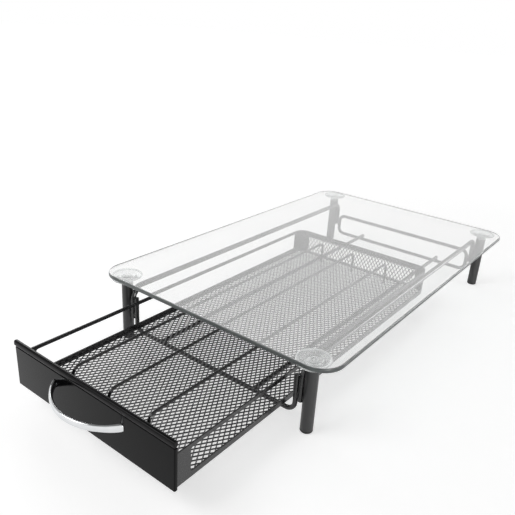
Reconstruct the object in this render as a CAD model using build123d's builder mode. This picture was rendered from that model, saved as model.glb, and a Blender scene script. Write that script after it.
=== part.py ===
from build123d import *
import os

# Coffee pod drawer: a glass shelf on four tube legs, with a wire frame that carries a pull-out tray.
# Millimetres. +X right, +Y to the rear, +Z up. The tray stands pulled out by drawer_open, as in use.
# Origin: on the ground, under the middle of the whole object from the handle to the glass's rear edge.

# glass shelf
glass_length = 400.0
glass_overhang_x = 22.0
glass_overhang_y = 14.0
glass_thickness = 4.0
glass_corner = 20.0
glass_edge_round = 1.2
shelf_height = 67.5

# legs, their foot plugs and the suction cups that grip the glass
leg_diameter = 10.5
leg_wall = 1.2
leg_end_chamfer = 0.3
foot_height = 2.2
foot_round = 1.4
plug_depth = 9.0
plug_clearance = 0.15
cup_diameter = 28.0
cup_height = 6.5
cup_lip_width = 1.6
cup_lip_thickness = 0.5
cup_hollow = 1.8
cup_neck_diameter = 7.6
cup_collar_height = 1.5
cup_skirt_rise = 1.6
cup_skirt_sag = 0.3

# bent wires of the frame
weld_gap = 0.15
rail_wire = 5.0
rail_height = 52.5
rail_end_height = 24.0
rail_bend = 9.0
cross_wire = 4.0
cross_height = 12.3
cross_bend = 8.0
front_wire_end_height = 46.0
rear_loop_height = 24.6
runner_wire = 4.0
runner_spacing = 106.0
runner_overhang = 3.0
runner_end_chamfer = 0.6

# tray
lane_count = 4
lane_width = 41.6
slide_clearance = 0.3
tray_side_gap = 4.05
tray_wall = 1.2
tray_height = 26.8
tray_corner = 12.0
rear_clearance = 2.0
closed_front_overhang = 6.0
drawer_open = 105.0
upper_band = 4.8
lower_band = 4.4
front_post = 11.0
rear_end_post = 3.0
rear_post = 8.0
window_corner = 1.6

# expanded metal floor and rear wall
mesh_thickness = 0.8
mesh_border = 3.0
floor_mesh_long = 26.0
floor_mesh_short = 16.2
floor_mesh_strand = 2.4
rear_mesh_long = 12.5
rear_mesh_short = 8.8
rear_mesh_strand = 1.6

# lane dividers
divider_wire = 2.5
divider_drop = 1.6
divider_bend = 7.0
divider_front_inset = 19.0
divider_rear_inset = 16.0
divider_landing = 1.0

# front panel
panel_overlap = 1.2
panel_height = 39.0
panel_sheet = 1.2
panel_return = 2.6
panel_fit = 0.1
panel_edge_round = 0.4
hem_height = 4.0
hem_depth = 3.5
hem_front = 0.6
hem_round = 1.2
groove_height = 1.1
groove_depth = 0.6

# bow handle and its screws
handle_span = 73.0
handle_reach = 20.0
handle_height = 23.4
handle_band_height = 5.2
handle_band_thickness = 3.0
handle_end_height = 6.0
handle_end_thickness = 5.6
handle_run_in = 4.0
screw_diameter = 3.0
screw_head_diameter = 5.6
screw_head_height = 2.0
screw_head_chamfer = 0.6
screw_grip = 3.0
screw_inset = 1.1
screw_hole_clearance = 0.2

# places worked out from the sizes above
overall_length = handle_reach + drawer_open + closed_front_overhang + glass_length
shelf_y = (overall_length - glass_length) / 2
inner_width = lane_count * lane_width
tray_width = inner_width + 2 * tray_wall
cross_x = tray_width / 2 + tray_side_gap + cross_wire / 2
rail_x = cross_x + cross_wire / 2 + weld_gap + rail_wire / 2
leg_radius = leg_diameter / 2
leg_x = rail_x + rail_wire / 2 + weld_gap + leg_radius
leg_spacing_y = glass_length - 2 * glass_overhang_y
leg_front_y = shelf_y - leg_spacing_y / 2
leg_rear_y = shelf_y + leg_spacing_y / 2
glass_width = 2 * (leg_x + glass_overhang_x)
bore_radius = leg_radius - leg_wall
glass_under = shelf_height - glass_thickness
leg_top = glass_under - cup_height
rear_loop_top = cross_height + rear_loop_height
runner_z = cross_height + cross_wire / 2 + runner_wire / 2 + weld_gap
drawer_base = runner_z + runner_wire / 2 + slide_clearance
tray_base = drawer_base + mesh_thickness
tray_top = tray_base + tray_height
panel_front = shelf_y - glass_length / 2 - closed_front_overhang - drawer_open
panel_rear = panel_front + panel_sheet
tray_front = panel_front + panel_return + panel_fit
tray_rear = leg_rear_y - cross_wire / 2 - rear_clearance - drawer_open
tray_length = tray_rear - tray_front
tray_middle = (tray_rear + tray_front) / 2
divider_z = tray_top - divider_drop - divider_wire / 2
divider_front = panel_front + divider_front_inset
divider_rear = tray_rear - divider_rear_inset
divider_places = [lane_width * (index - lane_count / 2) for index in range(1, lane_count)]
rear_reach = tray_corner + rear_post
rear_window_width = tray_width - 2 * rear_reach
side_length = tray_length - rear_reach
side_window_length = side_length - front_post - rear_end_post
window_bottom = tray_base + lower_band
window_top = tray_top - upper_band
window_middle = (window_bottom + window_top) / 2
window_height = window_top - window_bottom
panel_width = tray_width + 2 * panel_overlap
handle_z = drawer_base + handle_height
screw_x = handle_span / 2 - screw_inset

corners = {
    "front_left": (-leg_x, leg_front_y),
    "front_right": (leg_x, leg_front_y),
    "rear_left": (-leg_x, leg_rear_y),
    "rear_right": (leg_x, leg_rear_y),
}
sides = {"left": -1, "right": 1}

os.makedirs("parts", exist_ok=True)


def save(builder, name):
    builder.part.label = name
    export_step(builder.part, f"parts/{name}.step")


def bent_wire(plane, points, bend, diameter):
    """A round wire bent in one plane, with the same radius at every corner."""
    with BuildPart() as wire:
        with BuildLine(plane) as route:
            FilletPolyline(*points, radius=bend)
        with BuildSketch(Plane(origin=route.line @ 0, z_dir=route.line % 0)):
            Circle(diameter / 2)
        sweep()
    return wire


def diamond_places(width, height, pitch_x, pitch_y):
    """Centres of staggered diamonds that fit inside a rectangle about its middle."""
    columns = int((width / pitch_x - 1) // 1 + 1)
    rows = int(2 * (height / pitch_y - 1) // 1 + 1)
    places = []
    for row in range(rows):
        across = columns if row % 2 == 0 else columns - 1
        y = (row - (rows - 1) / 2) * pitch_y / 2
        for column in range(across):
            places.append(((column - (across - 1) / 2) * pitch_x, y))
    return places


def diamond(pitch_x, pitch_y, strand):
    """Corners of one hole: the cell of the mesh less the width of its strands."""
    slope = (pitch_x ** 2 + pitch_y ** 2) ** 0.5
    half_x = pitch_x / 2 - strand * slope / (2 * pitch_y)
    half_y = pitch_y / 2 - strand * slope / (2 * pitch_x)
    return [(-half_x, 0), (0, -half_y), (half_x, 0), (0, half_y)]


# glass shelf: toughened float glass with rounded corners and a pencil-ground edge
with BuildPart() as glass_top:
    with BuildSketch(Plane.XY.offset(glass_under)):
        with Locations((0, shelf_y)):
            RectangleRounded(glass_width, glass_length, glass_corner)
    extrude(amount=glass_thickness)
    rims = glass_top.faces().filter_by(Axis.Z).edges()
    fillet(rims, glass_edge_round)
save(glass_top, "glass_top")

for corner, (x, y) in corners.items():
    # leg: round steel tube, closed below by the foot plug and above by the cup's stem
    with BuildPart() as leg:
        with BuildSketch(Plane(origin=(x, y, foot_height))):
            Circle(leg_radius)
            Circle(bore_radius, mode=Mode.SUBTRACT)
        extrude(amount=leg_top - foot_height)
        tube_rims = leg.edges().filter_by(GeomType.CIRCLE).group_by(SortBy.RADIUS)[-1]
        chamfer(tube_rims, leg_end_chamfer)
    save(leg, f"leg_{corner}")

    # foot plug: a domed flange under the tube and a stem inside it
    with BuildPart() as foot_cap:
        with BuildSketch(Plane(origin=(x, y, 0))):
            Circle(leg_radius)
        extrude(amount=foot_height)
        fillet(foot_cap.edges().group_by(Axis.Z)[0], foot_round)
        with BuildSketch(Plane(origin=(x, y, foot_height))):
            Circle(bore_radius - plug_clearance)
        extrude(amount=plug_depth)
    save(foot_cap, f"foot_cap_{corner}")

    # suction cup: clear soft disc, hollow towards the glass, on a neck, collar and stem
    with BuildPart() as suction_cup:
        with BuildSketch(Plane(origin=(x, y, glass_under), x_dir=(1, 0, 0), z_dir=(0, -1, 0))):
            with BuildLine():
                stem_radius = bore_radius - plug_clearance
                collar_top = cup_collar_height - cup_height
                neck = (cup_neck_diameter / 2, collar_top + cup_skirt_rise)
                lip = (cup_diameter / 2, -cup_lip_thickness)
                skirt = ((neck[0] + lip[0]) / 2, (neck[1] + lip[1]) / 2 + cup_skirt_sag)
                Polyline(
                    (cup_diameter / 2 - cup_lip_width, 0),
                    (0, -cup_hollow),
                    (0, -cup_height - plug_depth),
                    (stem_radius, -cup_height - plug_depth),
                    (stem_radius, -cup_height),
                    (leg_radius, -cup_height),
                    (leg_radius, collar_top),
                    (cup_neck_diameter / 2, collar_top),
                    neck,
                )
                ThreePointArc(neck, skirt, lip)
                Polyline(lip, (cup_diameter / 2, 0), (cup_diameter / 2 - cup_lip_width, 0))
            make_face()
        revolve(axis=Axis((x, y, 0), (0, 0, 1)))
    save(suction_cup, f"suction_cup_{corner}")

for side, sign in sides.items():
    # side rail: a wire under the glass, its ends bent down and welded to the two legs
    side_rail = bent_wire(
        Plane.YZ.offset(sign * rail_x),
        [
            (leg_front_y, rail_end_height),
            (leg_front_y, rail_height),
            (leg_rear_y, rail_height),
            (leg_rear_y, rail_end_height),
        ],
        rail_bend,
        rail_wire,
    )
    save(side_rail, f"side_rail_{side}")

    # runner: a straight wire on the two lower cross wires, which the tray floor slides on
    with BuildPart() as runner:
        with BuildSketch(Plane.XZ.offset(-shelf_y)):
            with Locations((sign * runner_spacing / 2, runner_z)):
                Circle(runner_wire / 2)
        extrude(amount=leg_spacing_y / 2 + runner_overhang, both=True)
        chamfer(runner.edges().filter_by(GeomType.CIRCLE), runner_end_chamfer)
    save(runner, f"runner_{side}")

# front cross wire: passes low under the tray and turns up beside the front legs
front_cross_wire = bent_wire(
    Plane.XZ.offset(-leg_front_y),
    [
        (-cross_x, front_wire_end_height),
        (-cross_x, cross_height),
        (cross_x, cross_height),
        (cross_x, front_wire_end_height),
    ],
    cross_bend,
    cross_wire,
)
save(front_cross_wire, "front_cross_wire")

# rear loop: a closed wire between the rear legs, low for the runners and high to stop the tray
with BuildPart() as rear_loop_wire:
    with BuildLine(Plane.XZ.offset(-leg_rear_y)) as half_loop:
        FilletPolyline(
            (0, cross_height),
            (cross_x, cross_height),
            (cross_x, rear_loop_top),
            (0, rear_loop_top),
            radius=cross_bend,
        )
    with BuildSketch(Plane(origin=half_loop.line @ 0, z_dir=half_loop.line % 0)):
        Circle(cross_wire / 2)
    sweep()
    mirror(about=Plane.YZ)
save(rear_loop_wire, "rear_loop_wire")

# tray sides: upright strips of sheet with a long window, butt-welded to the rear wall
for side, sign in sides.items():
    with BuildPart() as tray_side:
        with BuildSketch(Plane.YZ.offset(sign * (tray_width / 2 - tray_wall))):
            with Locations((tray_front, tray_base)):
                Rectangle(side_length, tray_height, align=(Align.MIN, Align.MIN))
            with Locations((tray_front + side_window_length / 2 + front_post, window_middle)):
                RectangleRounded(side_window_length, window_height, window_corner, mode=Mode.SUBTRACT)
        extrude(amount=sign * tray_wall)
    save(tray_side, f"tray_side_{side}")

# tray rear: a strip bent round the two rear corners, with a window for the mesh
with BuildPart() as tray_rear_wall:
    with BuildSketch(Plane.XY.offset(tray_base)) as rear_plan:
        with Locations((0, tray_rear)):
            Rectangle(tray_width, rear_reach, align=(Align.CENTER, Align.MAX))
        fillet(rear_plan.vertices().group_by(Axis.Y)[-1], tray_corner)
    extrude(amount=tray_height)
    with BuildSketch(Plane.XY.offset(tray_base)) as hollow_plan:
        with Locations((0, tray_rear - tray_wall)):
            Rectangle(inner_width, rear_reach, align=(Align.CENTER, Align.MAX))
        fillet(hollow_plan.vertices().group_by(Axis.Y)[-1], tray_corner - tray_wall)
    extrude(amount=tray_height, mode=Mode.SUBTRACT)
    with BuildSketch(Plane.XZ.offset(-tray_rear)):
        with Locations((0, window_middle)):
            RectangleRounded(rear_window_width, window_height, window_corner)
    extrude(amount=tray_wall, both=True, mode=Mode.SUBTRACT)
save(tray_rear_wall, "tray_rear_wall")

# mesh floor: expanded metal under the band, rounded like it at the rear, solid under the dividers' feet
floor_width = tray_width - 2 * mesh_border
floor_length = tray_length - 2 * mesh_border
divider_feet = [(x, y - tray_middle) for x in divider_places for y in (divider_front, divider_rear)]
floor_holes = []
for x, y in diamond_places(floor_width, floor_length, floor_mesh_short, floor_mesh_long):
    reach_x = floor_mesh_short / 2 + divider_landing
    reach_y = floor_mesh_long / 2 + divider_landing
    foot_nearby = [
        (foot_x, foot_y)
        for foot_x, foot_y in divider_feet
        if abs(foot_x - x) * reach_y + abs(foot_y - y) * reach_x < reach_x * reach_y
    ]
    in_corner = abs(x) > tray_width / 2 - tray_corner and y > floor_length / 2 - tray_corner
    if not foot_nearby and not in_corner:
        floor_holes.append((x, y + tray_middle))
with BuildPart() as mesh_floor:
    with BuildSketch(Plane.XY.offset(drawer_base)) as floor_plan:
        with Locations((0, tray_middle)):
            Rectangle(tray_width, tray_length)
        fillet(floor_plan.vertices().group_by(Axis.Y)[-1], tray_corner)
        with Locations(*floor_holes):
            Polygon(*diamond(floor_mesh_short, floor_mesh_long, floor_mesh_strand), mode=Mode.SUBTRACT)
    extrude(amount=mesh_thickness)
save(mesh_floor, "mesh_floor")

# rear mesh: expanded metal welded inside the rear window
rear_mesh_width = rear_window_width + 2 * mesh_border
rear_mesh_height = window_height + 2 * mesh_border
with BuildPart() as rear_mesh:
    with BuildSketch(Plane.XZ.offset(-(tray_rear - tray_wall - panel_fit))):
        with Locations((0, window_middle)):
            Rectangle(rear_mesh_width, rear_mesh_height)
        rear_holes = diamond_places(rear_window_width, window_height, rear_mesh_long, rear_mesh_short)
        with Locations(*[(x, z + window_middle) for x, z in rear_holes]):
            Polygon(*diamond(rear_mesh_long, rear_mesh_short, rear_mesh_strand), mode=Mode.SUBTRACT)
    extrude(amount=mesh_thickness)
save(rear_mesh, "rear_mesh")

# dividers: bent wires that stand on the floor and part the tray into lanes
for number, x in enumerate(divider_places, start=1):
    divider = bent_wire(
        Plane.YZ.offset(x),
        [
            (divider_front, tray_base),
            (divider_front, divider_z),
            (divider_rear, divider_z),
            (divider_rear, tray_base),
        ],
        divider_bend,
        divider_wire,
    )
    save(divider, f"lane_divider_{number}")

# front panel: one folded sheet, with its side edges turned back, a rolled hem on top and a groove under it
hem_bottom = drawer_base + panel_height - hem_height
with BuildPart() as front_panel:
    with BuildSketch(Plane.XY.offset(drawer_base)):
        with Locations((0, panel_front)):
            Rectangle(panel_width, panel_return, align=(Align.CENTER, Align.MIN))
        with Locations((0, panel_rear)):
            fold_width = panel_width - 2 * panel_sheet
            Rectangle(fold_width, panel_return, align=(Align.CENTER, Align.MIN), mode=Mode.SUBTRACT)
    extrude(amount=hem_bottom - drawer_base)
    fillet(front_panel.edges().filter_by(Axis.Z).group_by(Axis.Y)[0], panel_edge_round)
    with BuildSketch(Plane.YZ):
        with Locations((panel_front, hem_bottom)):
            Rectangle(groove_depth, groove_height, align=(Align.MIN, Align.MAX))
    extrude(amount=panel_width / 2, both=True, mode=Mode.SUBTRACT)
    with BuildSketch(Plane.YZ):
        with Locations((panel_front - hem_front, hem_bottom)):
            RectangleRounded(hem_depth, hem_height, hem_round, align=(Align.MIN, Align.MIN))
    extrude(amount=panel_width / 2, both=True)
    with BuildSketch(Plane.XZ.offset(-panel_rear)):
        with Locations((-screw_x, handle_z), (screw_x, handle_z)):
            Circle(screw_diameter / 2 + screw_hole_clearance)
    extrude(amount=panel_sheet, mode=Mode.SUBTRACT)
save(front_panel, "front_panel")

# bow handle: a flattened bar bent to an arc, thicker at its ends, where the screws go in
with BuildPart() as bow_handle:
    half_span = handle_span / 2
    bow_depth = handle_reach - handle_band_thickness / 2
    bow_radius = (half_span ** 2 + bow_depth ** 2) / (2 * bow_depth)
    bow_centre = (0, panel_front - bow_depth + bow_radius, handle_z)
    with BuildLine(Plane(origin=bow_centre)) as bow:
        tip = Vector(half_span, panel_front - bow_centre[1])
        run_in = Vector(-tip.Y, tip.X).normalized() * handle_run_in
        past_tip = (tip + run_in).normalized() * bow_radius
        ThreePointArc((-past_tip.X, past_tip.Y), (0, -bow_radius), (past_tip.X, past_tip.Y))
    for place, height, thickness in (
        (0, handle_end_height, handle_end_thickness),
        (0.5, handle_band_height, handle_band_thickness),
        (1, handle_end_height, handle_end_thickness),
    ):
        with BuildSketch(Plane(origin=bow.line @ place, x_dir=(0, 0, 1), z_dir=bow.line % place)):
            Ellipse(height / 2, thickness / 2)
    sweep(multisection=True)
    split(bisect_by=Plane.XZ.offset(-panel_front), keep=Keep.TOP)
    with BuildSketch(Plane.XZ.offset(-panel_front)):
        with Locations((-screw_x, handle_z), (screw_x, handle_z)):
            Circle(screw_diameter / 2 + plug_clearance)
    extrude(amount=screw_grip + plug_clearance, mode=Mode.SUBTRACT)
save(bow_handle, "bow_handle")

# handle screws: pan heads behind the panel, shanks through it into the handle's ends
with BuildPart() as handle_screws:
    with BuildSketch(Plane.XZ.offset(-panel_rear)):
        with Locations((-screw_x, handle_z), (screw_x, handle_z)):
            Circle(screw_head_diameter / 2)
    extrude(amount=-screw_head_height)
    chamfer(handle_screws.edges().group_by(Axis.Y)[-1], screw_head_chamfer)
    with BuildSketch(Plane.XZ.offset(-panel_rear)):
        with Locations((-screw_x, handle_z), (screw_x, handle_z)):
            Circle(screw_diameter / 2)
    extrude(amount=panel_sheet + screw_grip)
save(handle_screws, "handle_screws")
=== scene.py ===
import bpy
import bmesh
import math
from mathutils import Matrix, Vector


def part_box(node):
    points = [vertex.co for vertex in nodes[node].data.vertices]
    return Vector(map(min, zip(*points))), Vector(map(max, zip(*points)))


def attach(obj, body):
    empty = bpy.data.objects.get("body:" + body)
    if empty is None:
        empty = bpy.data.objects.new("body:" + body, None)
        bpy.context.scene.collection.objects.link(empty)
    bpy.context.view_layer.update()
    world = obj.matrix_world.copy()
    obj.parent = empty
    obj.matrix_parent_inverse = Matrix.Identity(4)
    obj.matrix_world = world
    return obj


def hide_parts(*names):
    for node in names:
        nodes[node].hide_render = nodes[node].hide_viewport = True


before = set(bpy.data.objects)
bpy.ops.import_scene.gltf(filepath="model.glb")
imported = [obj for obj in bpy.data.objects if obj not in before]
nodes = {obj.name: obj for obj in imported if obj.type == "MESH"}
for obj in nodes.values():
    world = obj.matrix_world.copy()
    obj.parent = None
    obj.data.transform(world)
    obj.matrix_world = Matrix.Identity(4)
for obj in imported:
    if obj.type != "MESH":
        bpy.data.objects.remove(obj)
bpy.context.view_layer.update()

# Coffee pod drawer: a glass shelf on tube legs, a wire frame and a pull-out tray of expanded steel.
# Metres throughout; sizes named ...Mm are millimetres.
mm = 0.001
corners = ["front_left", "front_right", "rear_left", "rear_right"]


def hexToLinear(code):
    # sRGB hex to the linear colour that Blender's sockets take
    channels = [int(code[i:i + 2], 16) / 255 for i in (1, 3, 5)]
    return [c / 12.92 if c <= 0.04045 else ((c + 0.055) / 1.055) ** 2.4 for c in channels] + [1.0]


def addNode(tree, kind, inputs=None, **settings):
    # a node with its settings; an input is a plain value or the socket that feeds it
    node = tree.nodes.new(kind)
    for name, value in settings.items():
        setattr(node, name, value)
    for key, value in (inputs or {}).items():
        if isinstance(value, bpy.types.NodeSocket):
            tree.links.new(value, node.inputs[key])
        else:
            node.inputs[key].default_value = value
    return node


def newMaterial(name):
    material = bpy.data.materials.new(name)
    material.use_nodes = True
    material.node_tree.nodes.clear()
    return material, material.node_tree


def linked(name, data):
    made = bpy.data.objects.new(name, data)
    bpy.context.scene.collection.objects.link(made)
    return made


def place(mesh, name, body, slot, material, *replaced):
    piece = linked(name, mesh)
    mesh.materials.clear()
    mesh.materials.append(material)
    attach(piece, body)
    if replaced:
        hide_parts(*replaced)
    return piece


def dress(material, *names):
    # the CAD nodes keep their shape and get their finish
    for name in names:
        node = nodes[name]
        if not node.material_slots:
            node.data.materials.append(material)
        for slot in node.material_slots:
            slot.material = material


def meshFrom(shape, name):
    mesh = bpy.data.meshes.new(name)
    shape.to_mesh(mesh)
    shape.free()
    return mesh


def bakedMesh(holder, name):
    # what the holder's modifiers make; the holder itself goes
    holder.update_tag()
    evaluated = holder.evaluated_get(bpy.context.evaluated_depsgraph_get())
    mesh = bpy.data.meshes.new_from_object(evaluated)
    bpy.data.objects.remove(holder)
    mesh.name = name
    return mesh


def newTree(name, inputs):
    # a Geometry Nodes tree with named inputs; each is given with its kind of socket
    tree = bpy.data.node_groups.new(name, "GeometryNodeTree")
    for title, kind in inputs.items():
        tree.interface.new_socket(title, in_out="INPUT", socket_type="NodeSocket" + kind)
    tree.interface.new_socket("Geometry", in_out="OUTPUT", socket_type="NodeSocketGeometry")
    return tree


def grownMesh(tree, values, start, name):
    # what the tree makes of the start mesh, with its inputs set by identifier
    holder = linked(name + "Holder", start)
    modifier = holder.modifiers.new(tree.name, "NODES")
    modifier.node_group = tree
    for item in tree.interface.items_tree:
        if item.in_out == "INPUT" and item.name in values:
            modifier[item.identifier] = values[item.name]
    return bakedMesh(holder, name)


def softenEdges(piece, look):
    # a small bevel on each sharp edge, so that it catches the light
    edge = piece.modifiers.new("edge", "BEVEL")
    edge.width = look["edgeMm"] * mm
    edge.segments = look["edgeSteps"]
    edge.limit_method = "ANGLE"
    edge.angle_limit = math.radians(look["edgeDeg"])
    edge.harden_normals = True


def arcPoints(cx, cy, radius, start, end, steps):
    turns = [math.radians(start + (end - start) * i / steps) for i in range(steps + 1)]
    return [(cx + radius * math.cos(t), cy + radius * math.sin(t)) for t in turns]


def roundedBox(x0, x1, y0, y1, radius, steps):
    # a rectangle with rounded corners, from the upper right one round to the lower right one
    points = arcPoints(x1 - radius, y1 - radius, radius, 0, 90, steps)
    points += arcPoints(x0 + radius, y1 - radius, radius, 90, 180, steps)
    points += arcPoints(x0 + radius, y0 + radius, radius, 180, 270, steps)
    return points + arcPoints(x1 - radius, y0 + radius, radius, 270, 360, steps)


def turnProfile(shape, profile, steps, lift):
    # a profile of (radius, height) turned about its axis; lift makes the 3-D point
    rings = []
    for radius, height in profile:
        turns = [2 * math.pi * i / steps for i in range(steps if radius > 0 else 1)]
        circle = [(radius * math.cos(t), radius * math.sin(t)) for t in turns]
        rings.append([shape.verts.new(lift(u, v, height)) for u, v in circle])
    for a, b in zip(rings, rings[1:]):
        for i in range(steps):
            j = (i + 1) % steps
            patch = [a[i % len(a)], b[i % len(b)], b[j % len(b)], a[j % len(a)]]
            shape.faces.new(list(dict.fromkeys(patch)))
    return rings


print("materials")

# Most of a noise lies between these levels
noiseLow, noiseHigh = 0.3, 0.7

# Satin black powder coat, sprayed and baked: an even black skin with a faint orange peel that
# breaks the edges of its highlights, slightly greyer where the coat lies thin
powderLook = {"black": "#08080a", "thin": "#141416", "patchMm": 22.0, "peelMm": 1.3, "peelDepthMm": 0.004,
              "grainMm": 0.35, "grainDepthMm": 0.001, "relief": 0.6, "roughLow": 0.22, "roughHigh": 0.3,
              "ior": 1.6}


def makePowderCoat(name, look):
    material, tree = newMaterial(name)
    coords = addNode(tree, "ShaderNodeTexCoord").outputs["Object"]
    patches, peel, grain = [
        addNode(tree, "ShaderNodeTexNoise", {"Vector": coords, "Scale": 1 / (look[size] * mm),
                                             "Detail": detail}).outputs["Fac"]
        for size, detail in (("patchMm", 3.0), ("peelMm", 1.0), ("grainMm", 2.0))]
    colour = addNode(tree, "ShaderNodeMix", {
        0: patches, 6: hexToLinear(look["black"]), 7: hexToLinear(look["thin"])}, data_type="RGBA")
    rough = addNode(tree, "ShaderNodeMapRange", {
        "Value": peel, "From Min": noiseLow, "From Max": noiseHigh,
        "To Min": look["roughLow"], "To Max": look["roughHigh"]})
    peelBump = addNode(tree, "ShaderNodeBump", {
        "Height": peel, "Strength": look["relief"], "Distance": look["peelDepthMm"] * mm})
    grainBump = addNode(tree, "ShaderNodeBump", {
        "Height": grain, "Strength": look["relief"], "Distance": look["grainDepthMm"] * mm,
        "Normal": peelBump.outputs["Normal"]})
    skin = addNode(tree, "ShaderNodeBsdfPrincipled", {
        "Base Color": colour.outputs[2], "Roughness": rough.outputs["Result"],
        "Normal": grainBump.outputs["Normal"], "IOR": look["ior"]})
    addNode(tree, "ShaderNodeOutputMaterial", {"Surface": skin.outputs["BSDF"]})
    return material


satinPowderCoat = makePowderCoat("satinBlackPowderCoat", powderLook)

# The same powder on the leg tubes, laid on thicker, so the strip of light down each is broader
legLook = dict(powderLook, peelMm=1.8, roughLow=0.32, roughHigh=0.38)
legPowderCoat = makePowderCoat("powderCoatedTube", legLook)

# The same coat on expanded steel: thinner on the sheared strands, so it is greyer and catches more light
meshLook = dict(powderLook, black="#0d0d0f", thin="#232326", patchMm=6.0, roughLow=0.3, roughHigh=0.45)
meshPowderCoat = makePowderCoat("powderCoatedExpandedSteel", meshLook)

# Gloss black stoving enamel on the panel: flows out flatter than powder, so it mirrors what is near
enamelLook = dict(powderLook, black="#060607", thin="#0f0f10", patchMm=45.0, peelMm=3.2, peelDepthMm=0.01,
                  grainMm=0.5, grainDepthMm=0.0008, roughLow=0.1, roughHigh=0.16, ior=1.2)
glossEnamel = makePowderCoat("glossBlackStovingEnamel", enamelLook)

# Moulded black polyethylene of the foot plugs: matt with a fine spark-eroded grain
plugLook = dict(powderLook, black="#0b0b0c", thin="#161617", patchMm=5.0, peelMm=0.6, peelDepthMm=0.02,
                grainMm=0.25, grainDepthMm=0.01, roughLow=0.45, roughHigh=0.6, ior=1.5)
mouldedPolyethylene = makePowderCoat("mouldedBlackPolyethylene", plugLook)

# Toughened float glass: polished faces with roller waves too faint to see straight on, and a
# pencil-ground edge, frosted and grey-green from the iron in it
glassLook = {"face": "#ffffff", "edge": "#555b5a", "edgeFrom": 0.97, "edgeFull": 0.75, "waveMm": 90.0,
             "waveDepthMm": 0.05, "relief": 0.5, "faceRough": 0.02, "edgeRough": 0.3, "clear": 0.82,
             "edgeClear": 0.3, "ior": 1.5, "shade": "#eaedec"}


def finishClear(tree, skin, shade):
    # lamps shine through a clear piece, as they do through the real one
    through = addNode(tree, "ShaderNodeBsdfTransparent", {"Color": hexToLinear(shade)})
    path = addNode(tree, "ShaderNodeLightPath")
    both = addNode(tree, "ShaderNodeMixShader", {
        0: path.outputs["Is Shadow Ray"], 1: skin.outputs["BSDF"], 2: through.outputs["BSDF"]})
    addNode(tree, "ShaderNodeOutputMaterial", {"Surface": both.outputs["Shader"]})


def makeGlass(look):
    material, tree = newMaterial("toughenedFloatGlass")
    coords = addNode(tree, "ShaderNodeTexCoord")
    # the faces look straight up or down, the ground edge doesn't
    upright = addNode(tree, "ShaderNodeSeparateXYZ", {"Vector": coords.outputs["Normal"]})
    flatness = addNode(tree, "ShaderNodeMath", {0: upright.outputs["Z"]}, operation="ABSOLUTE")
    edge = addNode(tree, "ShaderNodeMapRange", {
        "Value": flatness.outputs[0], "From Min": look["edgeFrom"], "From Max": look["edgeFull"],
        "To Min": 0.0, "To Max": 1.0}).outputs["Result"]
    wave = addNode(tree, "ShaderNodeTexNoise", {
        "Vector": coords.outputs["Object"], "Scale": 1 / (look["waveMm"] * mm), "Detail": 0.0})
    bump = addNode(tree, "ShaderNodeBump", {
        "Height": wave.outputs["Fac"], "Strength": look["relief"], "Distance": look["waveDepthMm"] * mm})
    colour = addNode(tree, "ShaderNodeMix", {
        0: edge, 6: hexToLinear(look["face"]), 7: hexToLinear(look["edge"])}, data_type="RGBA")
    rough = addNode(tree, "ShaderNodeMapRange", {
        "Value": edge, "To Min": look["faceRough"], "To Max": look["edgeRough"]})
    clear = addNode(tree, "ShaderNodeMapRange", {
        "Value": edge, "To Min": look["clear"], "To Max": look["edgeClear"]})
    skin = addNode(tree, "ShaderNodeBsdfPrincipled", {
        "Base Color": colour.outputs[2], "Roughness": rough.outputs["Result"],
        "Transmission Weight": clear.outputs["Result"], "IOR": look["ior"],
        "Normal": bump.outputs["Normal"]})
    finishClear(tree, skin, look["shade"])
    return material


floatGlass = makeGlass(glassLook)

# Soft clear PVC of the suction cups: glossy and all but unseen over white, frosted on its lip, its
# pressure rings and the top of its boss, where the mould was left unpolished; there it is also made
# whiter and less clear as a painted highlight, standing in for the bright rim and rings
pvcLook = {"clear": "#f0f2f2", "frostedAndHighlight": "#ffffff", "cloudMm": 4.0, "roughLow": 0.0, "roughHigh": 0.05,
           "transmission": 0.97, "frostedAndHighlightTransmission": 0.45, "ior": 1.53, "shade": "#e0e4e4"}


def makeSoftPvc(look):
    material, tree = newMaterial("softClearPvc")
    coords = addNode(tree, "ShaderNodeTexCoord").outputs["Object"]
    cloud = addNode(tree, "ShaderNodeTexNoise", {
        "Vector": coords, "Scale": 1 / (look["cloudMm"] * mm), "Detail": 2.0})
    # painted highlight: this attribute whitens the frosted lip, rings and boss and lowers their
    # transmission, standing in for their bright highlights as well as the frosting
    frostAndHighlight = addNode(tree, "ShaderNodeAttribute", attribute_name="frostAndHighlight").outputs["Fac"]
    colour = addNode(tree, "ShaderNodeMix", {
        0: frostAndHighlight, 6: hexToLinear(look["clear"]), 7: hexToLinear(look["frostedAndHighlight"])}, data_type="RGBA")
    rough = addNode(tree, "ShaderNodeMapRange", {
        "Value": cloud.outputs["Fac"], "To Min": look["roughLow"], "To Max": look["roughHigh"]})
    clear = addNode(tree, "ShaderNodeMapRange", {
        "Value": frostAndHighlight, "To Min": look["transmission"], "To Max": look["frostedAndHighlightTransmission"]})
    skin = addNode(tree, "ShaderNodeBsdfPrincipled", {
        "Base Color": colour.outputs[2], "Roughness": rough.outputs["Result"],
        "Transmission Weight": clear.outputs["Result"], "IOR": look["ior"]})
    finishClear(tree, skin, look["shade"])
    return material


softPvc = makeSoftPvc(pvcLook)

# Bright chrome plate over polished zinc: a mirror, softened by the faint waviness of the polishing
chromeLook = {"bright": "#e6e7e8", "dull": "#d2d4d6", "waveMm": 9.0, "waveDepthMm": 0.02, "relief": 0.5,
              "roughLow": 0.03, "roughHigh": 0.09}
# Bright zinc plate on the screws: greyer, with a fine crystalline mottle
zincLook = {"bright": "#b9bcbf", "dull": "#93969a", "waveMm": 0.8, "waveDepthMm": 0.01, "relief": 0.5,
            "roughLow": 0.25, "roughHigh": 0.45}


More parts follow.
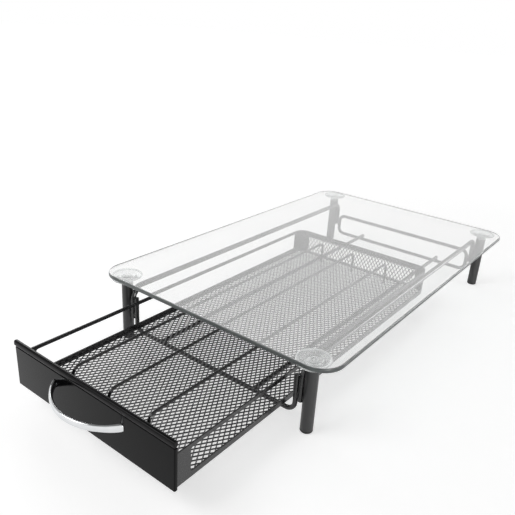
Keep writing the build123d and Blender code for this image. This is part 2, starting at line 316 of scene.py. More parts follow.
def makePlate(name, look):
    material, tree = newMaterial(name)
    coords = addNode(tree, "ShaderNodeTexCoord").outputs["Object"]
    wave = addNode(tree, "ShaderNodeTexNoise", {
        "Vector": coords, "Scale": 1 / (look["waveMm"] * mm), "Detail": 2.0}).outputs["Fac"]
    colour = addNode(tree, "ShaderNodeMix", {
        0: wave, 6: hexToLinear(look["bright"]), 7: hexToLinear(look["dull"])}, data_type="RGBA")
    rough = addNode(tree, "ShaderNodeMapRange", {
        "Value": wave, "From Min": noiseLow, "From Max": noiseHigh,
        "To Min": look["roughLow"], "To Max": look["roughHigh"]})
    bump = addNode(tree, "ShaderNodeBump", {
        "Height": wave, "Strength": look["relief"], "Distance": look["waveDepthMm"] * mm})
    skin = addNode(tree, "ShaderNodeBsdfPrincipled", {
        "Base Color": colour.outputs[2], "Metallic": 1.0, "Roughness": rough.outputs["Result"],
        "Normal": bump.outputs["Normal"]})
    addNode(tree, "ShaderNodeOutputMaterial", {"Surface": skin.outputs["BSDF"]})
    return material


chromePlate = makePlate("brightChromePlate", chromeLook)
zincPlate = makePlate("brightZincPlate", zincLook)

dress(floatGlass, "glass_top")
dress(satinPowderCoat, "side_rail_left", "side_rail_right", "runner_left", "runner_right",
      "front_cross_wire", "rear_loop_wire", "tray_side_left", "tray_side_right", "tray_rear_wall",
      "lane_divider_1", "lane_divider_2", "lane_divider_3")
dress(legPowderCoat, *[f"leg_{corner}" for corner in corners])
dress(meshPowderCoat, "mesh_floor", "rear_mesh")
dress(mouldedPolyethylene, *[f"foot_cap_{corner}" for corner in corners])
dress(softPvc, *[f"suction_cup_{corner}" for corner in corners])
dress(glossEnamel, "front_panel")
dress(chromePlate, "bow_handle")
dress(zincPlate, "handle_screws")

print("tray wall")

# one bent strip of sheet: front posts, long side windows, rounded rear corners and a rear window
wallLook = {"sheetMm": 1.2, "cornerMm": 12.0, "cornerSteps": 10, "frontPostMm": 13.0, "cornerPostMm": 1.6,
            "topBandMm": 3.4, "lowBandMm": 4.4, "rearBandMm": 6.2, "rearSillMm": 1.2, "windowCornerMm": 1.6,
            "windowSteps": 5, "joinMm": 0.001, "edgeMm": 0.22, "edgeSteps": 2, "edgeDeg": 40.0}


def flatWall(shape, origin, along, length, low, high, window):
    # a flat stretch of the strip: its outline and its window, filled between
    edges = []
    for outline in ([(0, low), (length, low), (length, high), (0, high)], window):
        ring = [shape.verts.new((origin[0] + along[0] * d, origin[1] + along[1] * d, z))
                for d, z in outline]
        edges += [shape.edges.new((ring[i - 1], ring[i])) for i in range(len(ring))]
    bmesh.ops.triangle_fill(shape, edges=edges, use_beauty=True)


def makeTrayWall(look):
    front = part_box("tray_side_left")[0].y
    rearLow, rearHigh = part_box("tray_rear_wall")
    half, rear = rearHigh.x, rearHigh.y
    low, high = rearLow.z, rearHigh.z
    bend, post, fillet = look["cornerMm"] * mm, look["cornerPostMm"] * mm, look["windowCornerMm"] * mm
    sideRun, rearRun = rear - bend - front, 2 * (half - bend)
    sideWindow = roundedBox(look["frontPostMm"] * mm, sideRun - post, low + look["lowBandMm"] * mm,
                            high - look["topBandMm"] * mm, fillet, look["windowSteps"])
    rearWindow = roundedBox(post, rearRun - post, low + look["rearSillMm"] * mm,
                            high - look["rearBandMm"] * mm, fillet, look["windowSteps"])
    shape = bmesh.new()
    flatWall(shape, (-half, front), (0, 1), sideRun, low, high, sideWindow)
    flatWall(shape, (half, front), (0, 1), sideRun, low, high, sideWindow)
    flatWall(shape, (bend - half, rear), (1, 0), rearRun, low, high, rearWindow)
    bent = arcPoints(half - bend, rear - bend, bend, 0, 90, look["cornerSteps"])
    for way in (-1, 1):
        columns = [[shape.verts.new((way * x, y, z)) for z in (low, high)] for x, y in bent]
        for a, b in zip(columns, columns[1:]):
            shape.faces.new((a[0], b[0], b[1], a[1]))
    bmesh.ops.remove_doubles(shape, verts=shape.verts, dist=look["joinMm"] * mm)
    bmesh.ops.recalc_face_normals(shape, faces=shape.faces)
    # the faces look outward, so the sheet's thickness goes inward
    tester = max(shape.faces, key=lambda face: face.calc_center_median().x)
    if tester.normal.x < 0:
        bmesh.ops.reverse_faces(shape, faces=shape.faces)
    for face in shape.faces:
        face.smooth = True
    return meshFrom(shape, "trayWall")


trayWall = place(makeTrayWall(wallLook), "trayWall", "drawer", "satin_black_coating", satinPowderCoat,
                 "tray_side_left", "tray_side_right", "tray_rear_wall")
solid = trayWall.modifiers.new("sheet", "SOLIDIFY")
solid.thickness = wallLook["sheetMm"] * mm
solid.offset = -1.0
softenEdges(trayWall, wallLook)

print("expanded steel mesh")

# slit and drawn sheet: staggered diamonds whose strands stand at a slant to the sheet, run on past
# each bond by a share of their width, and stop short of a rounded corner by a share of the rim's
steelMesh = {"cellAcrossMm": 4.2, "strandMm": 0.95, "runOn": 0.7, "stopShort": 0.4}
floorMesh = dict(steelMesh, cellAlongMm=6.7, sheetMm=0.5, slantDeg=15.0, rimMm=3.0, cornerMm=12.0,
                 playMm=0.2, toPanelMm=1.8)
rearMesh = dict(steelMesh, cellAlongMm=6.5, sheetMm=0.4, slantDeg=12.0, rimMm=1.2, cornerMm=1.6)
# what the sheet's tree asks for: sizes in metres, turns in radians
meshInputs = {"Strand Size": "Vector", "Right Place": "Vector", "Right Turn": "Vector",
              "Left Place": "Vector", "Left Turn": "Vector", "Columns": "Int", "Inner Columns": "Int",
              "Rows": "Int", "Span Across": "Float", "Inner Across": "Float", "Span Along": "Float",
              "First Row": "Vector", "Corner Centre": "Vector", "Corner Reach": "Float", "Rim": "Float",
              "Rim Across": "Float", "Rim Along": "Float", "Rim Bend": "Float", "Sheet": "Float",
              "Finish": "Material"}


def meshTree():
    tree = newTree("expandedSteel", meshInputs)
    given = addNode(tree, "NodeGroupInput").outputs

    # each bond carries the two strands that rise from it, one to the right and one to the left
    strand = addNode(tree, "GeometryNodeMeshCube", {"Size": given["Strand Size"]}).outputs["Mesh"]
    pair = addNode(tree, "GeometryNodeJoinGeometry")
    for side in ("Right", "Left"):
        turn = addNode(tree, "FunctionNodeEulerToRotation", {"Euler": given[side + " Turn"]})
        leaning = addNode(tree, "GeometryNodeTransform", {
            "Geometry": strand, "Rotation": turn.outputs[0], "Translation": given[side + " Place"]})
        tree.links.new(leaning.outputs[0], pair.inputs[0])

    # two grids of bonds, the second set half a cell over, make the staggered rows
    outer, inner = [
        addNode(tree, "GeometryNodeMeshGrid", {
            "Size X": given[across], "Size Y": given["Span Along"], "Vertices X": given[columns],
            "Vertices Y": given["Rows"]}).outputs["Mesh"]
        for across, columns in (("Span Across", "Columns"), ("Inner Across", "Inner Columns"))]
    lowered = addNode(tree, "GeometryNodeTransform", {"Geometry": outer, "Translation": given["First Row"]})
    bonds = addNode(tree, "GeometryNodeJoinGeometry")
    tree.links.new(lowered.outputs[0], bonds.inputs[0])
    tree.links.new(inner, bonds.inputs[0])

    # bonds past the rounded rear corners are left out; x is folded over, so one corner serves for both
    spot = addNode(tree, "GeometryNodeInputPosition").outputs[0]
    mirrored = addNode(tree, "ShaderNodeVectorMath", {0: spot, 1: (-1.0, 1.0, 1.0)}, operation="MULTIPLY")
    folded = addNode(tree, "ShaderNodeVectorMath", {0: spot, 1: mirrored.outputs[0]}, operation="MAXIMUM")
    past = addNode(tree, "ShaderNodeVectorMath", {0: folded.outputs[0], 1: given["Corner Centre"]},
                   operation="SUBTRACT")
    beyond = addNode(tree, "ShaderNodeVectorMath", {0: past.outputs[0], 1: (0.0, 0.0, 0.0)},
                     operation="MAXIMUM")
    reach = addNode(tree, "ShaderNodeVectorMath", {0: beyond.outputs[0]}, operation="LENGTH")
    outside = addNode(tree, "ShaderNodeMath", {0: reach.outputs["Value"], 1: given["Corner Reach"]},
                      operation="GREATER_THAN")
    kept = addNode(tree, "GeometryNodeDeleteGeometry", {
        "Geometry": bonds.outputs[0], "Selection": outside.outputs[0]}, domain="POINT")
    strands = addNode(tree, "GeometryNodeInstanceOnPoints", {
        "Points": kept.outputs[0], "Instance": pair.outputs[0]})

    # the uncut rim, a flat strip round the sheet with its two rear corners bent
    loop = addNode(tree, "GeometryNodeCurvePrimitiveQuadrilateral", {
        "Width": given["Rim Across"], "Height": given["Rim Along"]}, mode="RECTANGLE")
    depth = addNode(tree, "ShaderNodeSeparateXYZ", {0: spot}).outputs["Y"]
    rear = addNode(tree, "ShaderNodeMath", {0: depth, 1: 0.0}, operation="GREATER_THAN")
    bend = addNode(tree, "ShaderNodeMath", {0: rear.outputs[0], 1: given["Rim Bend"]}, operation="MULTIPLY")
    rounded = addNode(tree, "GeometryNodeFilletCurve", {
        "Curve": loop.outputs[0], "Radius": bend.outputs[0], "Count": 6}, mode="POLY")
    section = addNode(tree, "GeometryNodeCurvePrimitiveQuadrilateral", {
        "Width": given["Rim"], "Height": given["Sheet"]}, mode="RECTANGLE")
    rim = addNode(tree, "GeometryNodeCurveToMesh", {
        "Curve": rounded.outputs[0], "Profile Curve": section.outputs[0], "Fill Caps": True})
    whole = addNode(tree, "GeometryNodeJoinGeometry")
    tree.links.new(strands.outputs[0], whole.inputs[0])
    tree.links.new(rim.outputs[0], whole.inputs[0])
    real = addNode(tree, "GeometryNodeRealizeInstances", {0: whole.outputs[0]})
    finished = addNode(tree, "GeometryNodeSetMaterial", {
        "Geometry": real.outputs[0], "Material": given["Finish"]})
    addNode(tree, "NodeGroupOutput", {0: finished.outputs[0]})
    return tree


expandedSteel = meshTree()


def drawnMesh(name, look, width, length):
    # one sheet of expanded steel, lying in XY about the origin, cut to whole cells
    rim, corner = look["rimMm"] * mm, look["cornerMm"] * mm
    strand, sheet = look["strandMm"] * mm, look["sheetMm"] * mm
    columns = round((width - rim) / (look["cellAcrossMm"] * mm))
    rows = round((length - rim) / (look["cellAlongMm"] * mm))
    across, along = (width - rim) / columns, (length - rim) / rows
    lean, slant = math.atan2(along, across), math.radians(look["slantDeg"])
    strandLength = math.hypot(across, along) / 2 + look["runOn"] * strand
    values = {"Strand Size": (strandLength, strand, sheet),
              "Right Place": (across / 4, along / 4, 0.0), "Right Turn": (slant, 0.0, lean),
              "Left Place": (-across / 4, along / 4, 0.0), "Left Turn": (-slant, 0.0, math.pi - lean),
              "Columns": columns, "Inner Columns": columns - 1, "Rows": rows,
              "Span Across": (columns - 1) * across, "Inner Across": (columns - 2) * across,
              "Span Along": (rows - 1) * along, "First Row": (0.0, -along / 2, 0.0),
              "Corner Centre": (width / 2 - corner - across / 2, length / 2 - corner - along / 2, 0.0),
              "Corner Reach": corner - look["stopShort"] * rim, "Rim": rim, "Rim Across": width - rim,
              "Rim Along": length - rim, "Rim Bend": corner - rim / 2, "Sheet": sheet,
              "Finish": meshPowderCoat}
    return grownMesh(expandedSteel, values, bpy.data.meshes.new(name + "Start"), name)


# the floor's sheet lies under the tray's band and reaches the back of the panel
low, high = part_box("mesh_floor")
low.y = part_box("front_panel")[0].y + floorMesh["toPanelMm"] * mm
floorSheet = drawnMesh("meshFloor", floorMesh, high.x - low.x - floorMesh["playMm"] * mm, high.y - low.y)
floorSheet.transform(Matrix.Translation((low + high) / 2))
place(floorSheet, "trayMeshFloor", "drawer", "satin_black_coating", meshPowderCoat, "mesh_floor")

# the rear sheet laps behind its window by a rim's width all round
low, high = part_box("rear_mesh")
wallLow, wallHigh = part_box("tray_rear_wall")
low.z = wallLow.z + (wallLook["rearSillMm"] - rearMesh["rimMm"]) * mm
high.z = wallHigh.z - (wallLook["rearBandMm"] - rearMesh["rimMm"]) * mm
rearWidth = 2 * (wallHigh.x - (wallLook["cornerMm"] + wallLook["cornerPostMm"] - rearMesh["rimMm"]) * mm)
rearSheet = drawnMesh("rearMesh", rearMesh, rearWidth, high.z - low.z)
rearSheet.transform(Matrix.Translation((low + high) / 2) @ Matrix.Rotation(math.radians(90), 4, "X"))
place(rearSheet, "trayRearMesh", "drawer", "satin_black_coating", meshPowderCoat, "rear_mesh")

print("front panel and handle")

# one folded sheet: side edges turned back, a rolled hem on top and a groove under the hem
panelLook = {"sheetMm": 1.2, "returnMm": 2.6, "cornerMm": 0.9, "hemMm": 4.7, "hemFrontMm": 0.6,
             "hemRoundMm": 1.4, "grooveMm": 0.9, "grooveDeepMm": 0.5, "neckLapMm": 0.5, "neckInsetMm": 0.4,
             "arcSteps": 6, "edgeMm": 0.3, "edgeSteps": 3, "edgeDeg": 40.0}


def prism(shape, outline, start, end, lift):
    # outline points are lifted to 3-D twice, at start and end, and closed into a solid
    rings = [[shape.verts.new(lift(p, t)) for p in outline] for t in (start, end)]
    shape.faces.new(rings[0])
    shape.faces.new(list(reversed(rings[1])))
    for i in range(len(outline)):
        shape.faces.new((rings[0][i - 1], rings[0][i], rings[1][i], rings[1][i - 1]))


def makePanel(look):
    low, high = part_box("front_panel")
    half, face, steps = high.x, low.y + look["hemFrontMm"] * mm, look["arcSteps"]
    sheet, back, bend = look["sheetMm"] * mm, face + look["returnMm"] * mm, look["cornerMm"] * mm
    hemLow, grooveLow = high.z - look["hemMm"] * mm, high.z - (look["hemMm"] + look["grooveMm"]) * mm
    shape = bmesh.new()
    # the folded sheet in plan: rounded front corners and side edges turned back
    plan = [(-half, back)] + arcPoints(-half + bend, face + bend, bend, 180, 270, steps)
    plan += arcPoints(half - bend, face + bend, bend, 270, 360, steps)
    plan += [(half, back), (half - sheet, back), (half - sheet, face + sheet), (-half + sheet, face + sheet),
             (-half + sheet, back)]
    prism(shape, plan, low.z, grooveLow, lambda p, t: (p[0], p[1], t))
    # the neck of the sheet behind the groove
    front, rear, lap = face + look["grooveDeepMm"] * mm, face + sheet, look["neckLapMm"] * mm
    neck = [(front, grooveLow - lap), (rear, grooveLow - lap), (rear, hemLow + lap), (front, hemLow + lap)]
    neckHalf = half - look["neckInsetMm"] * mm
    prism(shape, neck, -neckHalf, neckHalf, lambda p, t: (t, p[0], p[1]))
    # the rolled hem: a flat oval along the top
    roll = roundedBox(low.y, high.y, hemLow, high.z, look["hemRoundMm"] * mm, steps)
    prism(shape, roll, -half, half, lambda p, t: (t, p[0], p[1]))
    bmesh.ops.recalc_face_normals(shape, faces=shape.faces)
    for polygon in shape.faces:
        polygon.smooth = True
    return meshFrom(shape, "frontPanel")


panel = place(makePanel(panelLook), "frontPanel", "drawer", "gloss_black_coating", glossEnamel,
              "front_panel")
softenEdges(panel, panelLook)

# cast bow: a flattened bar on an arc, swelling to a thick foot at each end
bowLook = {"bandHeightMm": 5.4, "bandThickMm": 2.9, "footHeightMm": 6.6, "footThickMm": 3.6,
           "footRunMm": 16.0, "halfSpanMm": 36.5, "pastMm": 5.0, "squareness": 2.3, "flatFrom": 0.999,
           "rings": 96, "sides": 32}


def makeBow(look):
    low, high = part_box("bow_handle")
    depth, halfSpan = high.y - low.y - look["bandThickMm"] / 2 * mm, look["halfSpanMm"] * mm
    radius = (halfSpan ** 2 + depth ** 2) / (2 * depth)
    centreY, z = high.y - depth + radius, (low.z + high.z) / 2
    widest = math.asin(halfSpan / radius)
    if depth > radius:
        widest = math.pi - widest
    past, power = look["pastMm"] * mm / radius, 2 / look["squareness"]
    shape = bmesh.new()
    rings = []
    for i in range(look["rings"] + 1):
        turn = (widest + past) * (2 * i / look["rings"] - 1)
        at = Vector((radius * math.sin(turn), centreY - radius * math.cos(turn), z))
        outward = Vector((math.sin(turn), -math.cos(turn), 0))
        # the bar swells smoothly over the run to its foot
        toEnd = (widest - abs(turn)) * radius / (look["footRunMm"] * mm)
        nearEnd = min(1.0, max(0.0, 1 - toEnd))
        swell = nearEnd ** 2 * (3 - 2 * nearEnd)
        tall = (look["bandHeightMm"] + (look["footHeightMm"] - look["bandHeightMm"]) * swell) * mm / 2
        thick = (look["bandThickMm"] + (look["footThickMm"] - look["bandThickMm"]) * swell) * mm / 2
        ring = []
        for k in range(look["sides"]):
            t = 2 * math.pi * k / look["sides"]
            c, s = math.cos(t), math.sin(t)
            point = at + outward * thick * math.copysign(abs(c) ** power, c)
            point += Vector((0, 0, tall * math.copysign(abs(s) ** power, s)))
            ring.append(shape.verts.new(point))
        rings.append(ring)
    for a, b in zip(rings, rings[1:]):
        for k in range(look["sides"]):
            shape.faces.new((a[k - 1], a[k], b[k], b[k - 1]))
    # both ends are cut flush on the panel's face, closed and left flat
    everything = shape.verts[:] + shape.edges[:] + shape.faces[:]
    bmesh.ops.bisect_plane(shape, geom=everything, plane_co=(0, high.y, 0), plane_no=(0, 1, 0),
                           clear_outer=True)
    bmesh.ops.holes_fill(shape, edges=[e for e in shape.edges if e.is_boundary])
    bmesh.ops.recalc_face_normals(shape, faces=shape.faces)
    for polygon in shape.faces:
        polygon.smooth = abs(polygon.normal.y) < look["flatFrom"]
    return meshFrom(shape, "bowHandle")


place(makeBow(bowLook), "bowHandle", "drawer", "chrome_plated_zinc", chromePlate, "bow_handle")

# pan-head screws from behind: a domed head, a cross recess and the shank through the sheet; the
# dome is given as shares of the head's radius and millimetres under its top
screwLook = {"headMm": 5.6, "headHighMm": 2.0, "shankMm": 3.0, "recessMm": 3.0, "slotMm": 0.75,
             "deepMm": 1.1, "dome": [(0, 0.05), (0.55, 0.12), (0.82, 0.45), (0.96, 1.0), (1, 1.6)],
             "biteMm": 0.8, "tipMm": 0.3, "steps": 40}


def makeScrews(look):
    low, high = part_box("handle_screws")
    face, tip = high.y - look["headHighMm"] * mm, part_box("bow_handle")[1].y - look["biteMm"] * mm
    head, shank, taper = look["headMm"] / 2 * mm, look["shankMm"] / 2 * mm, look["tipMm"] * mm
    profile = [(head * share, high.y - under * mm) for share, under in look["dome"]]
    profile += [(head, face), (shank, face), (shank, tip + taper), (shank - taper, tip), (0, tip)]
    bar = Matrix.Diagonal((look["recessMm"] * mm, look["deepMm"] * 2 * mm, look["slotMm"] * mm, 1))
    z = (low.z + high.z) / 2
    bodies, cross = bmesh.new(), bmesh.new()
    for x in (low.x + head, high.x - head):
        turnProfile(bodies, profile, look["steps"], lambda u, v, y: (x + u, y, z + v))
        # the driver's cross is cut out by two crossed bars
        for turn in (45, 135):
            spot = Matrix.Translation((x, high.y, z)) @ Matrix.Rotation(math.radians(turn), 4, "Y")
            bmesh.ops.create_cube(cross, size=1.0, matrix=spot @ bar)
    bmesh.ops.recalc_face_normals(bodies, faces=bodies.faces)
    body = linked("screwBodies", meshFrom(bodies, "screwBodies"))
    cutter = linked("driverCross", meshFrom(cross, "driverCross"))
    cut = body.modifiers.new("cross", "BOOLEAN")
    cut.operation = "DIFFERENCE"
    cut.solver = "EXACT"
    cut.use_self = True
    cut.object = cutter
    mesh = bakedMesh(body, "handleScrews")
    bpy.data.objects.remove(cutter)
    return mesh


place(makeScrews(screwLook), "handleScrews", "drawer", "zinc_plated_steel", zincPlate, "handle_screws")

print("weld beads")

# spot-welded joints of the wires: a small uneven bead of metal under the coat at each. Sizes are
# half-sizes along X, Y and Z; tops are the heights of the beads on a leg
beadLook = {"runnerMm": (2.4, 2.2, 1.1), "legMm": (1.0, 1.7, 3.2), "footMm": (1.8, 1.8, 0.8),
            "topsMm": {"front": (28.0, 40.0), "rear": (26.5, 40.0)}, "footInMm": 1.25, "footUpMm": 0.3,
            "lumpMm": 0.5, "lumpScale": 700.0, "seed": 3.0, "fineness": 3}
beadInputs = {"Geometry": "Geometry", "Lump": "Float", "Lump Scale": "Float", "Seed": "Float",
              "Finish": "Material"}


def beadTree():
    tree = newTree("weldBeads", beadInputs)
    given = addNode(tree, "NodeGroupInput").outputs
    ball = addNode(tree, "GeometryNodeMeshIcoSphere", {"Radius": 1.0, "Subdivisions": beadLook["fineness"]})
    size = addNode(tree, "GeometryNodeInputNamedAttribute", {"Name": "size"}, data_type="FLOAT_VECTOR")
    balls = addNode(tree, "GeometryNodeInstanceOnPoints", {
        "Points": given["Geometry"], "Instance": ball.outputs["Mesh"], "Scale": size.outputs[0]})
    real = addNode(tree, "GeometryNodeRealizeInstances", {0: balls.outputs[0]})
    lumps = addNode(tree, "ShaderNodeTexNoise", {"Scale": given["Lump Scale"], "W": given["Seed"]},
                    noise_dimensions="4D")
    centred = addNode(tree, "ShaderNodeVectorMath", {0: lumps.outputs["Color"], 1: (0.5, 0.5, 0.5)},
                      operation="SUBTRACT")
    shift = addNode(tree, "ShaderNodeVectorMath", {0: centred.outputs[0], "Scale": given["Lump"]},
                    operation="SCALE")
    moved = addNode(tree, "GeometryNodeSetPosition", {
        "Geometry": real.outputs[0], "Offset": shift.outputs[0]})
    smooth = addNode(tree, "GeometryNodeSetShadeSmooth", {0: moved.outputs[0]})
    finished = addNode(tree, "GeometryNodeSetMaterial", {
        "Geometry": smooth.outputs[0], "Material": given["Finish"]})
    addNode(tree, "NodeGroupOutput", {0: finished.outputs[0]})
    return tree


beads = beadTree()


def weldBeads(name, body, spots):
    start = bpy.data.meshes.new(name + "Spots")
    start.from_pydata([spot for spot, size in spots], [], [])
    sizes = start.attributes.new("size", "FLOAT_VECTOR", "POINT")
    for i, (spot, size) in enumerate(spots):
        sizes.data[i].vector = [v * mm for v in size]
    values = {"Lump": beadLook["lumpMm"] * mm, "Lump Scale": beadLook["lumpScale"],
              "Seed": beadLook["seed"], "Finish": legPowderCoat}
    mesh = grownMesh(beads, values, start, name)
    place(mesh, name, body, "satin_black_coating", legPowderCoat)


frameSpots = []
crossLow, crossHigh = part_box("front_cross_wire")
loopLow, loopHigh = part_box("rear_loop_wire")
ends = {"front": (crossLow.y + crossHigh.y) / 2, "rear": (loopLow.y + loopHigh.y) / 2}
for side, way in (("left", -1), ("right", 1)):
    runnerLow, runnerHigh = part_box(f"runner_{side}")
    for y in ends.values():
        frameSpots.append((((runnerLow.x + runnerHigh.x) / 2, y, runnerLow.z), beadLook["runnerMm"]))
    for end, y in ends.items():
        legLow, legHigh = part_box(f"leg_{end}_{side}")
        inner = legLow.x if way > 0 else legHigh.x
        tops = [top * mm for top in beadLook["topsMm"][end]]
        for x, z in [(inner, top) for top in tops] + [(crossHigh.x * way, tops[0])]:
            frameSpots.append(((x, y, z), beadLook["legMm"]))
weldBeads("frameWelds", "frame", frameSpots)

traySpots = []
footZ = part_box("mesh_floor")[1].z + beadLook["footUpMm"] * mm
for number in (1, 2, 3):
    low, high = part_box(f"lane_divider_{number}")
    for y in (low.y + beadLook["footInMm"] * mm, high.y - beadLook["footInMm"] * mm):
        traySpots.append((((low.x + high.x) / 2, y, footZ), beadLook["footMm"]))
weldBeads("trayWelds", "drawer", traySpots)

print("suction cups")

# the cup's section as (radius, depth under the glass, frosting with painted highlight), the first two in
# millimetres: a raised boss, two pressure rings and the lip that seals, then back under the skirt to the
# neck and the collar on the leg; a ring's radii are measured from its crest
cupLook = {"boss": [(0, 0.9, 0.5), (1.1, 0.95, 0.5), (1.5, 1.5, 0.05), (2.5, 1.5, 0.05), (2.9, 0.9, 0.6),
                    (3.9, 0.9, 0.5), (4.4, 1.8, 0.03), (6.4, 1.3, 0.03)],
           "ringsMm": (7.6, 10.4), "ring": [(-0.5, 0.9, 0.03), (0, 0.6, 0.25), (0.5, 0.8, 0.03)],
           "lip": [(12.6, 0.5, 0.03), (13.1, 0.02, 0.6), (13.9, 0.02, 0.75), (14.0, 0.3, 0.6)],
           "skirt": [(13.9, 0.9, 0.5), (13.3, 1.15, 0.4), (12.5, 1.0, 0.05), (9.5, 1.6, 0.03),
                     (6.8, 2.5, 0.03), (4.6, 3.3, 0.03)],
           "neck": [(3.9, 3.9, 0.05), (3.8, 4.7, 0.05), (4.1, 4.95, 0.3), (5.0, 5.05, 0.5),
                    (5.2, 5.3, 0.5)],
           "collarUpMm": 0.05, "stemMm": 3.8, "stemUpMm": 0.02, "tipMm": 3.4, "tipHighMm": 0.5, "steps": 72}


def makeCup(corner, look):
    low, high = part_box(f"suction_cup_{corner}")
    legLow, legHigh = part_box(f"leg_{corner}")
    centre, legRadius = (low + high) / 2, (legHigh.x - legLow.x) / 2
    section = list(look["boss"])
    for at in look["ringsMm"]:
        section += [(at + out, depth, share) for out, depth, share in look["ring"]]
    section += look["lip"] + look["skirt"] + look["neck"]
    outline = [(radius * mm, high.z - depth * mm, share) for radius, depth, share in section]
    # the collar rests on the leg's end, and the stem goes down inside the tube
    stem, tip = look["stemMm"] * mm, look["tipMm"] * mm
    outline += [(legRadius, legHigh.z + look["collarUpMm"] * mm, 0.3),
                (stem, legHigh.z + look["stemUpMm"] * mm, 0.3),
                (stem, low.z + look["tipHighMm"] * mm, 0.5), (tip, low.z, 0.5), (0, low.z, 0.5)]
    shape = bmesh.new()
    # each ring gets its share of frosting, which on the lip, rings and boss is also a painted highlight
    frostAndHighlight = shape.verts.layers.float.new("frostAndHighlight")
    rings = turnProfile(shape, [spot[:2] for spot in outline], look["steps"],
                        lambda u, v, z: (centre.x + u, centre.y + v, z))
    for ring, spot in zip(rings, outline):
        for vert in ring:
            vert[frostAndHighlight] = spot[2]
    bmesh.ops.recalc_face_normals(shape, faces=shape.faces)
    for face in shape.faces:
        face.smooth = True
    return meshFrom(shape, f"suctionCup_{corner}")


for corner in corners:
    place(makeCup(corner, cupLook), f"suctionCup_{corner}", "frame", "clear_soft_plastic", softPvc,
          f"suction_cup_{corner}")

print("studio")

# a white sweep under a white room; the room is greyer overhead, which gives the chrome its contrast
studio = {"floor": "#cfcfcf", "floorHalfM": 6.0, "underMm": 0.2, "floorGlow": 0.58, "farGlow": 0.74,
          "nearM": 0.35, "farM": 1.3, "fibreScale": 900.0, "fibreRelief": 0.05, "fibreDepthMm": 0.1,
          "worldDiffuse": 0.42, "ceiling": 0.22, "ceilingFrom": 0.5, "ceilingFull": 0.66}
# places, aims and sizes in metres; the two strips show in gloss alone, where they draw the bright line
# down each leg and lift the tray's side
softboxes = {
    "keyBox": {"place": (-0.9, -1.3, 1.5), "aim": (0, 0, 0), "size": (1.2, 0.9), "watts": 15.0,
               "glossOnly": False},
    "sideStrip": {"place": (0.85, 1.15, 0.12), "aim": (0, 0, 0.03), "size": (0.5, 0.24), "watts": 6.0,
                  "glossOnly": True},
    "legStrip": {"place": (1.1, -0.55, 0.16), "aim": (0, 0, 0.03), "size": (0.12, 0.3), "watts": 12.0,
                 "glossOnly": True},
    "backBox": {"place": (-1.5, 0.5, 0.8), "aim": (0, 0, 0), "size": (0.6, 0.6), "watts": 4.0,
                "glossOnly": False}}

floorShape = bmesh.new()
bmesh.ops.create_grid(floorShape, x_segments=1, y_segments=1, size=studio["floorHalfM"])
floorData = meshFrom(floorShape, "studioFloor")
floorData.transform(Matrix.Translation((0, 0, -studio["underMm"] * mm)))
studioFloor = linked("studioFloor", floorData)


def seenPart(tree):
    # 1 for what the camera, a mirror or the glass sees, 0 for the light that falls on things
    path = addNode(tree, "ShaderNodeLightPath").outputs
    seen = addNode(tree, "ShaderNodeMath", {0: path["Is Camera Ray"], 1: path["Is Glossy Ray"]},
                   operation="MAXIMUM")
    seen = addNode(tree, "ShaderNodeMath", {0: seen.outputs[0], 1: path["Is Transmission Ray"]},
                   operation="MAXIMUM")
    return seen.outputs[0]


# matt white paper: glows a little where it is seen, so it shows white and keeps its shadows
paper, tree = newMaterial("mattWhitePaper")
spot = addNode(tree, "ShaderNodeTexCoord").outputs["Object"]
reach = addNode(tree, "ShaderNodeVectorMath", {0: spot}, operation="LENGTH")
spread = addNode(tree, "ShaderNodeMapRange", {
    "Value": reach.outputs["Value"], "From Min": studio["nearM"], "From Max": studio["farM"],
    "To Min": studio["floorGlow"], "To Max": studio["farGlow"]}, interpolation_type="SMOOTHSTEP")
glow = addNode(tree, "ShaderNodeMath", {0: seenPart(tree), 1: spread.outputs["Result"]},
               operation="MULTIPLY")
fibre = addNode(tree, "ShaderNodeTexNoise", {"Vector": spot, "Scale": studio["fibreScale"]})
paperBump = addNode(tree, "ShaderNodeBump", {
    "Height": fibre.outputs["Fac"], "Strength": studio["fibreRelief"],
    "Distance": studio["fibreDepthMm"] * mm})
skin = addNode(tree, "ShaderNodeBsdfPrincipled", {
    "Base Color": hexToLinear(studio["floor"]), "Roughness": 0.8, "Specular IOR Level": 0.2,
    "Emission Color": (1, 1, 1, 1), "Emission Strength": glow.outputs[0],
    "Normal": paperBump.outputs["Normal"]})
addNode(tree, "ShaderNodeOutputMaterial", {"Surface": skin.outputs["BSDF"]})
floorData.materials.append(paper)

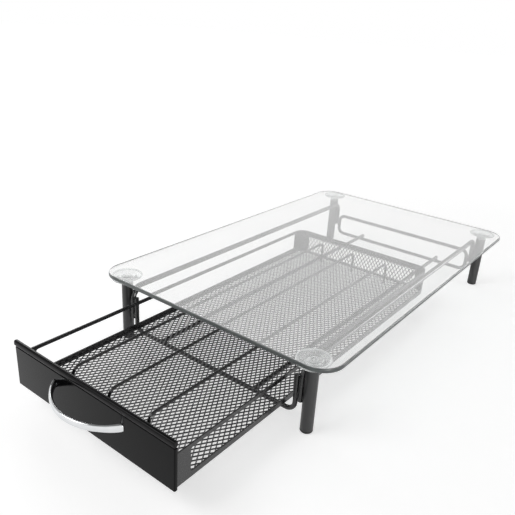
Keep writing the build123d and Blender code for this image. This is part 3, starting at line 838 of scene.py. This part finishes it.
world = bpy.data.worlds.new("studio")
bpy.context.scene.world = world
world.use_nodes = True
tree = world.node_tree
tree.nodes.clear()
sight = addNode(tree, "ShaderNodeTexCoord").outputs["Generated"]
height = addNode(tree, "ShaderNodeSeparateXYZ", {0: sight}).outputs["Z"]
room = addNode(tree, "ShaderNodeMapRange", {
    "Value": height, "From Min": studio["ceilingFrom"], "From Max": studio["ceilingFull"],
    "To Min": 1.0, "To Max": studio["ceiling"]}, interpolation_type="SMOOTHSTEP")
level = addNode(tree, "ShaderNodeMapRange", {
    "Value": seenPart(tree), "To Min": studio["worldDiffuse"], "To Max": room.outputs["Result"]})
sky = addNode(tree, "ShaderNodeBackground", {"Color": (1, 1, 1, 1), "Strength": level.outputs["Result"]})
addNode(tree, "ShaderNodeOutputWorld", {"Surface": sky.outputs["Background"]})

for name, box in softboxes.items():
    lamp = bpy.data.lights.new(name, "AREA")
    lamp.shape = "RECTANGLE"
    lamp.size, lamp.size_y = box["size"]
    lamp.energy = box["watts"]
    holder = linked(name, lamp)
    holder.location = box["place"]
    holder.rotation_mode = "QUATERNION"
    holder.rotation_quaternion = (Vector(box["aim"]) - Vector(box["place"])).to_track_quat("-Z", "Y")
    holder.visible_diffuse = not box["glossOnly"]

# the photograph's view, solved from its edges
lens = {"azimuth": 36.56, "elevation": 22.92, "roll": 3.57, "place": (0.28572, -0.44416, 0.29888),
        "focalPx": 587.2, "framePx": 515, "sensorMm": 36.0, "nearM": 0.01}
azimuth, elevation, roll = (math.radians(lens[key]) for key in ("azimuth", "elevation", "roll"))
back = Vector((math.sin(azimuth) * math.cos(elevation), -math.cos(azimuth) * math.cos(elevation),
               math.sin(elevation)))
right = Vector((math.cos(azimuth), math.sin(azimuth), 0))
up = back.cross(right)
right, up = (right * math.cos(roll) + up * math.sin(roll), up * math.cos(roll) - right * math.sin(roll))
cameraData = bpy.data.cameras.new("photoCamera")
cameraData.sensor_width = lens["sensorMm"]
cameraData.lens = lens["sensorMm"] * lens["focalPx"] / lens["framePx"]
cameraData.clip_start = lens["nearM"]
camera = linked("photoCamera", cameraData)
camera.matrix_world = Matrix.Translation(lens["place"]) @ Matrix((right, up, back)).transposed().to_4x4()
bpy.context.scene.camera = camera

bpy.context.scene.view_settings.view_transform = "Standard"

bpy.context.view_layer.update()
print("done")
